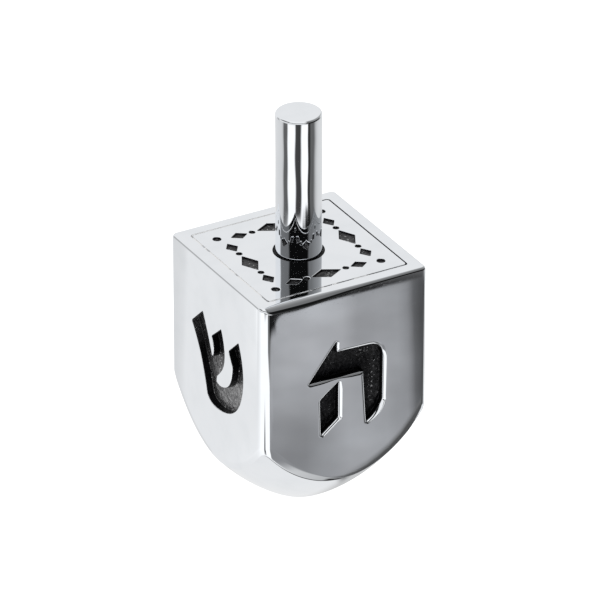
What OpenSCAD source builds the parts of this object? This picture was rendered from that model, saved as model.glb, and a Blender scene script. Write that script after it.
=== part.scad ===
// Silver dreidel: a hollow square body with a pointed dome for spinning,
// an inset top plate that carries a plain round stem, and one recessed,
// blackened game letter on each of the four flats.
// +Z is the spin axis and points up the stem. The origin is the tip that it
// spins on. Seen from above, nun faces +Y, gimel +X, he -Y and shin -X.

/* [Body] */
// Width of the square body across two opposite flats
body_w = 25.4; // [24:0.2:30]
// Length of the upright corner edges, from the top face down to the dome
side_h = 21; // [20:0.5:26]
// How far each flat's rounded lower end dips below its corner edges
flat_drop = 8; // [7.5:0.1:8.5]
// How far the dome's arc centre lies beyond the spin axis (more is sharper)
ogive_off = 14.3; // [10:0.1:18]
// Radius of the blunt tip that the body spins on
tip_r = 3; // [2:0.5:4]
// Rounding radius of the four upright corner edges
corner_r = 0.9; // [0.4:0.1:1.2]
// Width of the broken edge around the top face
top_break = 0.4; // [0.2:0.1:0.6]
// Thickness of the cast wall
wall = 3; // [2.7:0.1:3.4]

/* [Top plate] */
// Width of the body's rim around the inset plate
rim_w = 1.9; // [1.6:0.1:2.1]
// Thickness of the inset plate
plate_t = 2.2; // [1.8:0.1:2.6]
// Width of the soldered seam between the plate and the rim
seam_w = 0.2; // [0.15:0.05:0.3]
// Outside diameter of the socket under the plate that holds the stem
boss_d = 11; // [10:0.5:13]
// Depth of the stem's socket below the top face
socket_h = 6; // [5:0.5:8]

/* [Stem] */
// Diameter of the stem
stem_d = 6.35; // [5.6:0.05:7]
// Height of the stem above the top face
stem_h = 20.9; // [16:0.1:24]
// Rounding radius of the stem's upper edge
stem_edge_r = 0.35; // [0.2:0.05:0.6]
// Width of the dark ring of solder around the stem's foot
ring_w = 0.35; // [0.25:0.05:0.5]

/* [Letters and ornament] */
// Height of a letter's drawing (14 is the size the strokes are drawn at)
mark_h = 14; // [12:0.5:14.5]
// How far the letters' drawing centre lies below the top face
mark_down = 14.6; // [13.5:0.1:15.5]
// Depth of the letter recesses
mark_depth = 1.2; // [0.8:0.1:1.4]
// Thickness of the black layer on the floor of a recess
black_t = 0.2; // [0.15:0.05:0.3]
// Distance from the spin axis to the middle of each row of ornament
row_r = 7.5; // [7.2:0.1:7.7]
// Depth of the ornament cut into the plate
orn_depth = 0.45; // [0.35:0.05:0.6]

/* [Hidden] */
$fn = 96;

hw = body_w / 2;                       // half width of the body
diag = hw * sqrt(2);                   // spin axis to a sharp corner edge
// Dome: an arc that meets the corner edges at depth 0 and the middle of each
// flat at flat_drop. Its centre is ogive_off beyond the axis and arc_up above
// the lower ends of the corner edges.
arc_up = ((diag + ogive_off) * (diag + ogive_off)
          - (hw + ogive_off) * (hw + ogive_off)
          - flat_drop * flat_drop) / (2 * flat_drop);
arc_r = sqrt((diag + ogive_off) * (diag + ogive_off) + arc_up * arc_up);
arc_z = tip_r + sqrt((arc_r - tip_r) * (arc_r - tip_r) - ogive_off * ogive_off);
tip_join_z = tip_r - tip_r * (arc_z - tip_r) / (arc_r - tip_r);
spring_z = arc_z - arc_up;             // lower ends of the corner edges
top_z = spring_z + side_h;             // top face
seat_hw = hw - rim_w;                  // half width of the plate's seat
plate_hw = seat_hw - seam_w;           // half width of the plate
seat_z = top_z - plate_t;              // ledge that the plate lies on
stem_r = stem_d / 2;
foot_r = stem_r - 0.25;                // turned-down foot in the ring groove
foot_h = 0.1;                          // foot's height above the top face
tenon_r = stem_r - 0.8;                // tenon in the socket
seam_low = 0.08;                       // solder lies this far below the top
seam_deep = 1.0;                       // depth of the solder in the seam
ring_deep = 0.7;                       // depth of the solder ring
silver = [0.86, 0.87, 0.88];
solder = [0.24, 0.24, 0.25];
black = [0.05, 0.05, 0.055];

// ---- helpers ----

// Points of a quadratic curve from p0 to p2, pulled towards p1, end included
function arc3(p0, p1, p2, n = 7) =
    [for (i = [1 : n]) let (t = i / n)
        (1 - t) * (1 - t) * p0 + 2 * t * (1 - t) * p1 + t * t * p2];

// Square with rounded corners, hw to each side
module round_square(h, r) {
    square([2 * h - 2 * r, 2 * h], center = true);
    square([2 * h, 2 * h - 2 * r], center = true);
    for (sx = [-1, 1], sy = [-1, 1])
        translate([sx * (h - r), sy * (h - r)]) circle(r);
}

// Solid of revolution under the dome's arc, set in by "inset" all over
module ogive(inset) {
    rotate_extrude() union() {
        intersection() {
            translate([-ogive_off, arc_z]) circle(arc_r - inset, $fn = 360);
            translate([0, tip_join_z + inset]) square([diag + 6, top_z + 4]);
        }
        intersection() {
            translate([0, tip_r + inset]) circle(max(tip_r - inset, 0.6));
            square([tip_r, tip_join_z + inset + 0.001]);
        }
    }
}

// ---- letters, drawn in their own strokes, right side up, seen from outside ----

module he_2d() {
    polygon(concat(
        [[-5.55, 1.4], [-1.2, 7], [-1.2, 5.2], [3.8, 5]],
        arc3([3.8, 5], [5.9, 4.9], [6, 2.6]),
        [[5.93, -4]],
        arc3([5.93, -4], [5.2, -5.9], [3.4, -6.8]),
        [[2.9, 1.2]]));
    polygon([[-0.9, 0.85], [-3.75, -1.5], [-3.6, -7], [-0.9, -4.9]]);
}

module shin_2d() {
    polygon(concat(
        [[-7, 3.95], [-3.9, 6.8]],
        arc3([-3.9, 6.8], [-2.3, 3.8], [-1.4, 1.2]),
        [[-1.1, 1.2]],
        arc3([-1.1, 1.2], [-0.6, 2.7], [-1.5, 4.1]),
        [[1.2, 6.4]],
        arc3([1.2, 6.4], [2.9, 2.6], [1.5, 0.4]),
        arc3([1.5, 0.4], [0.8, -0.6], [0, -1.3], 4),
        [[-0.2, -2.3]],
        arc3([-0.2, -2.3], [0.8, -2.9], [2.5, -2], 5),
        arc3([2.5, -2], [4.2, -0.9], [4.3, 2]),
        [[3.2, 4], [6, 6.6]],
        arc3([6, 6.6], [8.1, 2.2], [6.7, -1.8]),
        arc3([6.7, -1.8], [5.4, -5.4], [1.6, -6.2]),
        arc3([1.6, -6.2], [-2.1, -6.9], [-2.85, -5.2]),
        arc3([-2.85, -5.2], [-4.3, 0.6], [-7, 3.95], 9)));
}

module gimel_2d() {
    polygon(concat(
        [[-3.2, 1.6], [0.6, 6.9], [0.7, 5.2], [1.8, 5.1]],
        arc3([1.8, 5.1], [4, 5], [4.1, 2.6]),
        [[4.4, -4.4]],
        arc3([4.4, -4.4], [4.4, -5.8], [2.2, -7]),
        [[1.3, -3.5], [-1.7, -6.7], [-5.2, -6.7], [-4.5, -4.3], [0.9, -1.4], [0.9, 1.3]]));
}

module nun_2d() {
    polygon(concat(
        [[-3, 1.6], [0.7, 6.9], [0.8, 5.2], [1.9, 5.1]],
        arc3([1.9, 5.1], [4.1, 5], [4.2, 2.6]),
        [[4.2, -4.2]],
        arc3([4.2, -4.2], [4.2, -6.6], [2, -6.7]),
        [[-4.9, -6.7], [-2.7, -3.4], [0.3, -3.4]],
        arc3([0.3, -3.4], [1, -3.4], [1, -2.7], 5),
        [[1, 1.3]]));
}

// A letter's drawing, extruded by "t" outwards from the floor of its recess
module on_flat(turn, t) {
    rotate([0, 0, turn]) translate([0, -hw + mark_depth, top_z - mark_down])
        rotate([90, 0, 0]) linear_extrude(t) scale(mark_h / 14) children();
}

// ---- ornament: a lozenge, two dots and two small lozenges along each side ----

module lozenge(a, b) { polygon([[-a, 0], [0, -b], [a, 0], [0, b]]); }

module ornament_2d() {
    for (q = [0 : 3]) rotate(90 * q) {
        translate([0, -row_r]) {
            lozenge(2.3, 1.25);
            for (s = [-1, 1]) {
                translate([s * 3, 0]) circle(0.45, $fn = 32);
                translate([s * 5, 0]) lozenge(1.3, 0.9);
            }
        }
        translate([row_r + 0.6, row_r + 0.6]) circle(0.6, $fn = 32);
    }
}

// ---- pieces ----

// Hollow cast body: square sides, ogive dome below, open top with a stepped
// seat for the plate, and the four letter recesses
module body_shell() {
    color(silver) difference() {
        intersection() {
            linear_extrude(top_z) round_square(hw, corner_r);
            ogive(0);
        }
        // broken edges around the top face
        for (q = [0 : 3]) rotate([0, 0, 90 * q])
            translate([hw - top_break / 2, 0, top_z - top_break / 2]) rotate([0, 45, 0])
                translate([-5, -hw - 5, 0]) cube([10, body_w + 10, 5]);
        // cavity
        intersection() {
            linear_extrude(seat_z + 0.01) round_square(hw - wall, 2);
            ogive(wall);
        }
        // seat for the plate
        translate([0, 0, seat_z]) linear_extrude(plate_t + 1)
            round_square(seat_hw, 0.5);
        on_flat(180, mark_depth + 1) nun_2d();
        on_flat(90, mark_depth + 1) gimel_2d();
        on_flat(0, mark_depth + 1) he_2d();
        on_flat(-90, mark_depth + 1) shin_2d();
    }
}

// Plate that closes the body, with the stem's socket under it
module top_plate() {
    color(silver) difference() {
        union() {
            translate([0, 0, seat_z]) linear_extrude(plate_t)
                round_square(plate_hw, 0.4);
            translate([0, 0, top_z - socket_h - 1.2])
                cylinder(h = socket_h + 1.2 - 0.5, d = boss_d);
        }
        translate([0, 0, top_z - socket_h]) cylinder(h = socket_h + 1, r = tenon_r + 0.02);
        translate([0, 0, top_z - ring_deep]) cylinder(h = ring_deep + 1, r = stem_r + ring_w);
        translate([0, 0, top_z - orn_depth]) linear_extrude(orn_depth + 1) ornament_2d();
    }
}

// Round rod, flat on top with a softened edge. Its tenon fills the plate's
// socket and its foot stands in the shallow ring cut round the socket's mouth.
module stem() {
    color(silver) translate([0, 0, top_z]) {
        translate([0, 0, -socket_h]) cylinder(h = socket_h, r = tenon_r);
        translate([0, 0, -ring_deep]) cylinder(h = ring_deep + foot_h + 0.05, r = foot_r);
        translate([0, 0, foot_h]) cylinder(h = stem_h - stem_edge_r - foot_h, r = stem_r);
        translate([0, 0, stem_h - stem_edge_r]) rotate_extrude() {
            square([stem_r - stem_edge_r, stem_edge_r]);
            intersection() {
                translate([stem_r - stem_edge_r, 0]) circle(stem_edge_r, $fn = 48);
                square([stem_r, stem_edge_r]);
            }
        }
    }
}

// Solder in the square seam between the plate and the rim
module plate_seam() {
    color(solder) translate([0, 0, top_z - seam_deep]) linear_extrude(seam_deep - seam_low)
        difference() {
            round_square(seat_hw, 0.5);
            round_square(plate_hw, 0.4);
        }
}

// Solder ring around the stem's foot
module stem_seam() {
    color(solder) translate([0, 0, top_z - ring_deep]) difference() {
        cylinder(h = ring_deep - seam_low * 2, r = stem_r + ring_w);
        translate([0, 0, -1]) cylinder(h = ring_deep + 2, r = foot_r);
    }
}

// Black layers on the floors of the recesses
module nun_inlay() { color(black) on_flat(180, black_t) nun_2d(); }
module gimel_inlay() { color(black) on_flat(90, black_t) gimel_2d(); }
module he_inlay() { color(black) on_flat(0, black_t) he_2d(); }
module shin_inlay() { color(black) on_flat(-90, black_t) shin_2d(); }
module plate_inlay() {
    color(black) translate([0, 0, top_z - orn_depth]) linear_extrude(black_t) ornament_2d();
}

body_shell();
top_plate();
stem();
plate_seam();
stem_seam();
nun_inlay();
gimel_inlay();
he_inlay();
shin_inlay();
plate_inlay();
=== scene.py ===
import math

import bpy
import numpy as np
from mathutils import Matrix, Vector
from mathutils.geometry import delaunay_2d_cdt


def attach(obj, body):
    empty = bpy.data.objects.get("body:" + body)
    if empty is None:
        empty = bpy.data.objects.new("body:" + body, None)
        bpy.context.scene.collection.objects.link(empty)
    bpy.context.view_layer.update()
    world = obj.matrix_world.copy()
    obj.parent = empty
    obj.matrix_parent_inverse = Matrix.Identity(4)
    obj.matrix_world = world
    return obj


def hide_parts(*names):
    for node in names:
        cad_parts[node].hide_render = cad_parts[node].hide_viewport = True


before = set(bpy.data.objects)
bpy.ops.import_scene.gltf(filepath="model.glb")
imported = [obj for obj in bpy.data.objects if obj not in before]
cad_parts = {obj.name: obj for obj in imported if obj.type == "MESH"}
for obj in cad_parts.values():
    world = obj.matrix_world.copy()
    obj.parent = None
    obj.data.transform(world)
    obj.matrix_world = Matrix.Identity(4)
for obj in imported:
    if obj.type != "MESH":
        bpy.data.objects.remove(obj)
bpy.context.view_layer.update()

# All sizes below are in millimetres, as in the CAD model. Meshes are made in metres.
MM = 0.001
HW = 12.7            # half width of the body
SIDE_H = 21.0        # upright corner edges
FLAT_DROP = 8.0      # how far a flat's lower end dips below the corner edges
OGIVE_OFF = 14.3     # dome arc's centre beyond the axis
TIP_R = 3.0          # ball at the tip
DIAG = HW * math.sqrt(2)
ARC_UP = ((DIAG + OGIVE_OFF) ** 2 - (HW + OGIVE_OFF) ** 2 - FLAT_DROP ** 2) / (2 * FLAT_DROP)
ARC_R = math.sqrt((DIAG + OGIVE_OFF) ** 2 + ARC_UP ** 2)
ARC_Z = TIP_R + math.sqrt((ARC_R - TIP_R) ** 2 - OGIVE_OFF ** 2)
TIP_JOIN = TIP_R * OGIVE_OFF / (ARC_R - TIP_R)
TOP_Z = ARC_Z - ARC_UP + SIDE_H
WALL = 3.0
SEAT_HW, PLATE_HW, SEAT_Z = 10.8, 10.6, TOP_Z - 2.2
STEM_R, STEM_H, FOOT_R, TENON_R = 3.175, 20.9, 2.925, 2.375
GROOVE_R = STEM_R + 0.35
MARK_Z, MARK_DEPTH, MARK_FLOOR = TOP_Z - 14.6, 1.2, 1.08
ORN_DEPTH, ORN_FLOOR = 0.45, 0.27

# Softened edges: size of the corner box and power of its curve (2 is a circle)
V_BOX, V_POW = (0.85, 0.85, 0.85, 1.7), (2.2, 2.2, 2.2, 3.0)   # upright corner edges, the last one is the most worn
T_POW = 2.1                    # edges around the top face
ROLL_H, ROLL_IN = 1.15, 0.21   # flats roll over towards the dome's edge
LIPS = {"he": 0.62, "gimel": 0.45, "nun": 0.45, "shin": 0.12}   # rounded lips of the letters' recesses
LIP_DOWN = 0.72                # a lip's height over its width


# ---------------------------------------------------------------- helpers

def unit(v):
    v = np.asarray(v, float)
    return v / np.maximum(np.linalg.norm(v, axis=-1, keepdims=True), 1e-12)


def lattice(ix, iy, seed):
    h = (ix.astype(np.int64) * 374761393 + iy.astype(np.int64) * 668265263 + seed * 974634777) & 0xFFFFFFFF
    h = ((h ^ (h >> 13)) * 1274126177) & 0xFFFFFFFF
    return ((h ^ (h >> 16)) & 0xFFFF) / 32767.5 - 1.0


def noise2(x, y, seed):
    """Smooth value noise from -1 to 1, one cell per unit."""
    x, y = np.asarray(x, float), np.asarray(y, float)
    ix, iy = np.floor(x), np.floor(y)
    fx, fy = x - ix, y - iy
    fx, fy = fx * fx * (3 - 2 * fx), fy * fy * (3 - 2 * fy)
    a = lattice(ix, iy, seed) * (1 - fx) + lattice(ix + 1, iy, seed) * fx
    b = lattice(ix, iy + 1, seed) * (1 - fx) + lattice(ix + 1, iy + 1, seed) * fx
    return a * (1 - fy) + b * fy


class Build:
    """Collects a closed mesh with a known normal at each vertex that shows."""

    def __init__(self):
        self.co, self.no, self.faces, self.value = [], [], [], []

    def vert(self, p, n=None, value=0.0):
        self.co.append(tuple(float(c) for c in p))
        self.no.append(None if n is None else tuple(float(c) for c in n))
        self.value.append(float(value))
        return len(self.co) - 1

    def row(self, points, normals=None, values=None):
        return [self.vert(p, None if normals is None else normals[i], 0.0 if values is None else values[i])
                for i, p in enumerate(points)]

    def band(self, a, b, span=None):
        """Quads between two rows of a path that runs over the outside from a to b."""
        n = len(a)
        for i in range(n) if span is None else span:
            j = (i + 1) % n
            self.faces.append((b[i % n], b[j], a[j], a[i % n]))

    def tip(self, a, t):
        for i in range(len(a)):
            self.faces.append((t, a[(i + 1) % len(a)], a[i]))

    def start(self, t, b):
        for i in range(len(b)):
            self.faces.append((b[i], b[(i + 1) % len(b)], t))

    def fill(self, loops, extra=(), flip=False):
        """Triangles between loops of (vertex, (u, v)), the first one outside, the others holes in it."""
        ids, flat, edges = [], [], []
        for loop in loops:
            first = len(ids)
            for i, (v, uv) in enumerate(loop):
                ids.append(v)
                flat.append((float(uv[0]), float(uv[1])))
                edges.append((first + i, first + (i + 1) % len(loop)))
        for v, uv in extra:
            ids.append(v)
            flat.append((float(uv[0]), float(uv[1])))
        got = delaunay_2d_cdt([Vector(p) for p in flat], edges, [], 0, 1e-6, True)
        points = np.array([(p[0], p[1]) for p in got[0]])
        owner = [ids[o[0]] if o else None for o in got[3]]
        if any(o is None for o in owner):
            raise ValueError(f"outlines cross at {[tuple(p) for p, o in zip(points.round(3).tolist(), owner) if o is None]}")
        tris = [tuple(f) for f in got[2] if len(f) == 3]
        corner = points[np.array(tris)]
        e, g = corner[:, 1] - corner[:, 0], corner[:, 2] - corner[:, 0]
        area = 0.5 * (e[:, 0] * g[:, 1] - e[:, 1] * g[:, 0])
        mid = corner.mean(1)
        odd = np.zeros(len(mid), int)
        for loop in loops:
            p = np.array([uv for _, uv in loop], float)
            q = np.roll(p, -1, 0)
            for (x0, y0), (x1, y1) in zip(p, q):
                if y0 == y1:
                    continue
                hit = (mid[:, 1] >= min(y0, y1)) & (mid[:, 1] < max(y0, y1))
                odd += hit & (mid[:, 0] < x0 + (mid[:, 1] - y0) * (x1 - x0) / (y1 - y0))
        # triangles joined over edges that belong to no outline are on the same side as the largest of them
        fixed = {tuple(sorted(e)) for e, o in zip(got[1], got[4]) if o}
        shared = {}
        for k, f in enumerate(tris):
            for i in range(3):
                shared.setdefault(tuple(sorted((f[i], f[(i + 1) % 3]))), []).append(k)
        root = list(range(len(tris)))

        def find(k):
            while root[k] != k:
                root[k] = root[root[k]]
                k = root[k]
            return k

        for e, ks in shared.items():
            if e not in fixed and len(ks) == 2:
                root[find(ks[0])] = find(ks[1])
        best = {}
        for k in range(len(tris)):
            r = find(k)
            if r not in best or abs(area[k]) > abs(area[best[r]]):
                best[r] = k
        turned = area.sum() < 0
        for k, f in enumerate(tris):
            if odd[best[find(k)]] % 2 and abs(area[best[find(k)]]) > 1e-5:
                f = [owner[i] for i in f]
                self.faces.append(tuple(reversed(f)) if turned != flip else tuple(f))

    def make(self, name, material, node):
        me = bpy.data.meshes.new(name)
        me.from_pydata((np.array(self.co) * MM).tolist(), [], self.faces)
        me.update()
        me.polygons.foreach_set("use_smooth", [True] * len(me.polygons))
        smooth = np.zeros(len(me.vertices) * 3, np.float32)
        me.vertex_normals.foreach_get("vector", smooth)
        smooth = smooth.reshape(-1, 3)
        known = np.array([n is not None for n in self.no])
        for i, n in enumerate(self.no):
            if n is not None:
                smooth[i] = unit(n)
        flat = np.zeros(len(me.polygons) * 3, np.float32)
        me.polygons.foreach_get("normal", flat)
        total = np.zeros(len(me.polygons), np.int32)
        me.polygons.foreach_get("loop_total", total)
        vert = np.zeros(len(me.loops), np.int32)
        me.loops.foreach_get("vertex_index", vert)
        flat = np.repeat(flat.reshape(-1, 3), total, 0)
        agree = (smooth[vert] * flat).sum(1)
        keep = (agree > np.where(known[vert], 0.3, 0.55)) | (np.linalg.norm(flat, axis=1) < 0.5)
        normals = np.where(keep[:, None], smooth[vert], flat)
        if any(self.value):
            layer = me.attributes.new("shade", "FLOAT", "POINT")
            layer.data.foreach_set("value", np.array(self.value, np.float32))
        me.normals_split_custom_set([tuple(n) for n in normals.tolist()])
        me.materials.append(material)
        obj = bpy.data.objects.new(name, me)
        bpy.context.scene.collection.objects.link(obj)
        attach(obj, "root")
        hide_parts(node)
        return obj


def ring(h, box, power, nf, nc):
    """Points and outward normals round a square with softened corners, anticlockwise from above,
    from the left end of the -Y side: nf steps along each side, nc round each corner. Corner k is after side k."""
    box = (box,) * 4 if np.isscalar(box) else box
    power = (power,) * 4 if np.isscalar(power) else power
    out_p, out_n = [], []
    for k in range(4):
        pts, nrm = [], []
        left, right = -(h - box[k - 1]), h - box[k]
        for i in range(nf):
            pts.append((left + (right - left) * i / nf, -h))
            nrm.append((0.0, -1.0))
        for j in range(nc):
            a = j / nc * math.pi / 2
            s, c = math.sin(a) ** (2 / power[k]), math.cos(a) ** (2 / power[k])
            pts.append((h - box[k] + box[k] * s, -(h - box[k]) - box[k] * c))
            nrm.append(unit((s ** (power[k] - 1), -(c ** (power[k] - 1)))))
        c, s = (1, 0, -1, 0)[k], (0, 1, 0, -1)[k]
        turn = np.array([[c, s], [-s, c]], float)   # row vectors, k quarter turns to the left
        out_p.append(np.array(pts) @ turn)
        out_n.append(np.array(nrm) @ turn)
    return np.concatenate(out_p), np.concatenate(out_n)


def circle(r, n):
    a = np.arange(n) * 2 * math.pi / n
    d = np.stack([np.cos(a), np.sin(a)], 1)
    return d * r, d


def lift(xy, z):
    return np.column_stack([xy, np.broadcast_to(np.asarray(z, float), (len(xy),))])


class Flat:
    """A flat face: (u, v) on it, and depth below it."""

    def __init__(self, origin, u, v, n):
        self.o, self.u, self.v, self.n = (np.array(a, float) for a in (origin, u, v, n))

    def at(self, uv, depth):
        uv = np.asarray(uv, float)
        depth = np.broadcast_to(np.asarray(depth, float), (len(uv),))
        return self.o + uv[:, :1] * self.u + uv[:, 1:] * self.v - depth[:, None] * self.n

    def way(self, uv):
        uv = np.asarray(uv, float)
        return uv[:, :1] * self.u + uv[:, 1:] * self.v


def side_flat(q):
    c, s = (1, 0, -1, 0)[q], (0, 1, 0, -1)[q]
    n = (s, -c, 0)
    return Flat(np.array(n) * HW, (c, s, 0), (0, 0, 1), n)


# ---------------------------------------------------------------- outlines of the marks

def arc3(p0, p1, p2, n=7):
    p0, p1, p2 = (np.array(p, float) for p in (p0, p1, p2))
    return [tuple((1 - t) ** 2 * p0 + 2 * t * (1 - t) * p1 + t * t * p2) for t in (i / n for i in range(1, n + 1))]


HE = [
    [(-5.55, 1.4), (-1.2, 7), (-1.2, 5.2), (3.8, 5)] + arc3((3.8, 5), (5.9, 4.9), (6, 2.6))
    + [(5.93, -4)] + arc3((5.93, -4), (5.2, -5.9), (3.4, -6.8)) + [(2.9, 1.2)],
    [(-0.9, 0.85), (-3.75, -1.5), (-3.6, -7), (-0.9, -4.9)],
]
SHIN = [
    [(-7, 3.95), (-3.9, 6.8)] + arc3((-3.9, 6.8), (-2.3, 3.8), (-1.4, 1.2)) + [(-1.1, 1.2)]
    + arc3((-1.1, 1.2), (-0.6, 2.7), (-1.5, 4.1)) + [(1.2, 6.4)] + arc3((1.2, 6.4), (2.9, 2.6), (1.5, 0.4))
    + arc3((1.5, 0.4), (0.8, -0.6), (0, -1.3), 4) + [(-0.2, -2.3)]
    + arc3((-0.2, -2.3), (0.8, -2.9), (2.5, -2), 5) + arc3((2.5, -2), (4.2, -0.9), (4.3, 2))
    + [(3.2, 4), (6, 6.6)] + arc3((6, 6.6), (8.1, 2.2), (6.7, -1.8))
    + arc3((6.7, -1.8), (5.4, -5.4), (1.6, -6.2)) + arc3((1.6, -6.2), (-2.1, -6.9), (-2.85, -5.2))
    + arc3((-2.85, -5.2), (-4.3, 0.6), (-7, 3.95), 9)[:-1],
]
GIMEL = [
    [(-3.2, 1.6), (0.6, 6.9), (0.7, 5.2), (1.8, 5.1)] + arc3((1.8, 5.1), (4, 5), (4.1, 2.6))
    + [(4.4, -4.4)] + arc3((4.4, -4.4), (4.4, -5.8), (2.2, -7))
    + [(1.3, -3.5), (-1.7, -6.7), (-5.2, -6.7), (-4.5, -4.3), (0.9, -1.4), (0.9, 1.3)],
]
NUN = [
    [(-3, 1.6), (0.7, 6.9), (0.8, 5.2), (1.9, 5.1)] + arc3((1.9, 5.1), (4.1, 5), (4.2, 2.6))
    + [(4.2, -4.2)] + arc3((4.2, -4.2), (4.2, -6.6), (2, -6.7)) + [(-4.9, -6.7), (-2.7, -3.4), (0.3, -3.4)]
    + arc3((0.3, -3.4), (1, -3.4), (1, -2.7), 5) + [(1, 1.3)],
]


def lozenge(a, b):
    return [(-a, 0), (0, -b), (a, 0), (0, b)]


def disc(r, n=20):
    return [tuple(p) for p in circle(r, n)[0]]


def ornament():
    out = []
    for q in range(4):
        c, s = (1, 0, -1, 0)[q], (0, 1, 0, -1)[q]
        row = [(lozenge(2.3, 1.25), (0, -7.5)), (disc(0.6), (8.1, 8.1))]
        for k in (-1, 1):
            row += [(disc(0.45), (3 * k, -7.5)), (lozenge(1.3, 0.9), (5 * k, -7.5))]
        for shape, (x, y) in row:
            out.append([(c * (px + x) - s * (py + y), s * (px + x) + c * (py + y)) for px, py in shape])
    return out


def tidy(poly, soft, step, lip):
    """Anticlockwise, outer corners slightly rounded, long edges cut into steps that keep clear of inner corners."""
    p = np.array(poly, float)
    q = np.roll(p, -1, 0)
    if (p[:, 0] * q[:, 1] - q[:, 0] * p[:, 1]).sum() < 0:
        p = p[::-1]
    n = len(p)
    out = []
    for i in range(n):
        a, b, c = p[i - 1], p[i], p[(i + 1) % n]
        e, f = b - a, c - b
        le, lf = np.linalg.norm(e), np.linalg.norm(f)
        turn = math.degrees(math.atan2(e[0] * f[1] - e[1] * f[0], e @ f))
        if turn > 22:
            half = math.tan(math.radians(180 - turn) / 2)
            back = min(max(soft, 0.13 / half), 0.35 * le, 0.35 * lf)
            s = b - e / le * back
            hub = s + back * half * np.array([-e[1], e[0]]) / le
            for k in range(7):
                g = math.radians(turn) * k / 6
                d = s - hub
                out.append((hub + (d[0] * math.cos(g) - d[1] * math.sin(g), d[0] * math.sin(g) + d[1] * math.cos(g)), 0.0))
        else:
            out.append((b, 1.15 * lip * math.tan(math.radians(-turn) / 2) if turn < -15 else 0.0))
    cut = []
    for (a, ka), (b, kb) in zip(out, out[1:] + out[:1]):
        cut.append(a)
        e = b - a
        length = np.linalg.norm(e)
        first, last = max(ka, step), length - max(kb, step)
        if last > first:
            k = int(round((last - first) / step))
            cut += [a + e / length * (first + (last - first) * i / max(k, 1)) for i in range(k + 1)]
    return np.array(cut)


def miters(p):
    """At each vertex of an anticlockwise outline: the way out of it, lengthened so that edges keep their distance."""
    e = unit(np.roll(p, -1, 0) - p)
    n = np.stack([e[:, 1], -e[:, 0]], 1)
    m = unit(n + np.roll(n, 1, 0))
    k = 1 / np.maximum((m * n).sum(1), 0.4)
    return m * k[:, None]


def lip_widths(polys, most):
    """Lip at each vertex: narrower where another edge, or the other side of a thin tongue, is near."""
    a = np.concatenate(polys)
    b = np.concatenate([np.roll(p, -1, 0) for p in polys])
    inner = []
    for p in polys:
        e, f = p - np.roll(p, 1, 0), np.roll(p, -1, 0) - p
        turn = np.degrees(np.arctan2(e[:, 0] * f[:, 1] - e[:, 1] * f[:, 0], (e * f).sum(1)))
        inner += list(p[turn < -15])
    out = []
    for p in polys:
        long = np.linalg.norm(miters(p), axis=1)
        m = unit(miters(p))
        w = np.full(len(p), most)
        for c in inner:
            away = (c - p)
            ahead = (away * m).sum(1)
            near = np.where(ahead > 1e-6, (away * away).sum(1) / (2 * np.maximum(ahead, 1e-6)) / long, most)
            w = np.minimum(w, np.where((away * away).sum(1) > 1e-9, 0.92 * near, most))
        for i, (o, d) in enumerate(zip(p, m)):
            e = b - a
            den = d[0] * e[:, 1] - d[1] * e[:, 0]
            ok = np.abs(den) > 1e-9
            den = np.where(ok, den, 1)
            r = a - o
            t = (r[:, 0] * e[:, 1] - r[:, 1] * e[:, 0]) / den
            s = (r[:, 0] * d[1] - r[:, 1] * d[0]) / den
            hit = t[ok & (t > 1e-3) & (s >= 0) & (s <= 1)]
            if len(hit):
                w[i] = min(w[i], 0.34 * hit.min())
        low = np.minimum.reduce([np.roll(w, k) for k in (-2, -1, 0, 1, 2)])
        out.append(np.minimum(w, sum(np.roll(low, k) for k in (-2, -1, 0, 1, 2)) / 5))
    return out


def lip_shape(name, poly, lip):
    """Lips are narrower along the bottoms of the strokes, a little wider along their tops, and narrower in the notch of
    the first letter.
    """
    m = unit(miters(poly))
    part = np.where(m[:, 1] < -0.75, 0.72, np.where(m[:, 1] > 0.75, 1.05, 1.0))
    if name == "he":
        part = np.where((poly[:, 1] > MARK_Z + 4.0) & (poly[:, 0] < 1.0) & (m[:, 0] > 0.3), 0.6, part)
    for _ in range(2):
        part = (np.roll(part, 1) + 2 * part + np.roll(part, -1)) / 4
    return lip * part


def lip_dip(poly):
    """A lip's height over its width: flatter where it is at the top of the recess."""
    dip = LIP_DOWN * (1 - 0.42 * np.clip(unit(miters(poly))[:, 1], 0, 1))
    return (np.roll(dip, 1) + 2 * dip + np.roll(dip, -1)) / 4


def recess(b, face, poly, lip, depth, steps=7):
    """Rounded lip, wall and floor of a recess. Returns the loop in the face that goes round it."""
    m = miters(poly)
    way = face.way(unit(m))
    dip = lip_dip(poly)
    power = 1.5 + 0.9 * np.clip(-2 * unit(m)[:, 0], 0, 1)      # rounder on the left of a stroke
    last = loop = None
    for s in range(steps + 1):
        a = s / steps * math.pi / 2
        i, o = math.sin(a) ** (2 / power), max(math.cos(a), 0.0) ** (2 / power)
        uv = poly + (lip * (1 - i))[:, None] * m
        ids = b.row(face.at(uv, dip * lip * (1 - o)), (o ** (power - 1))[:, None] * face.n - (i ** (power - 1) * dip)[:, None] * way)
        if last is None:
            loop = list(zip(ids, uv))
        else:
            b.band(ids, last)
        last = ids
    foot = b.row(face.at(poly, depth), -way)
    b.band(foot, last)
    b.fill([list(zip(foot, poly))])
    return loop


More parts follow.
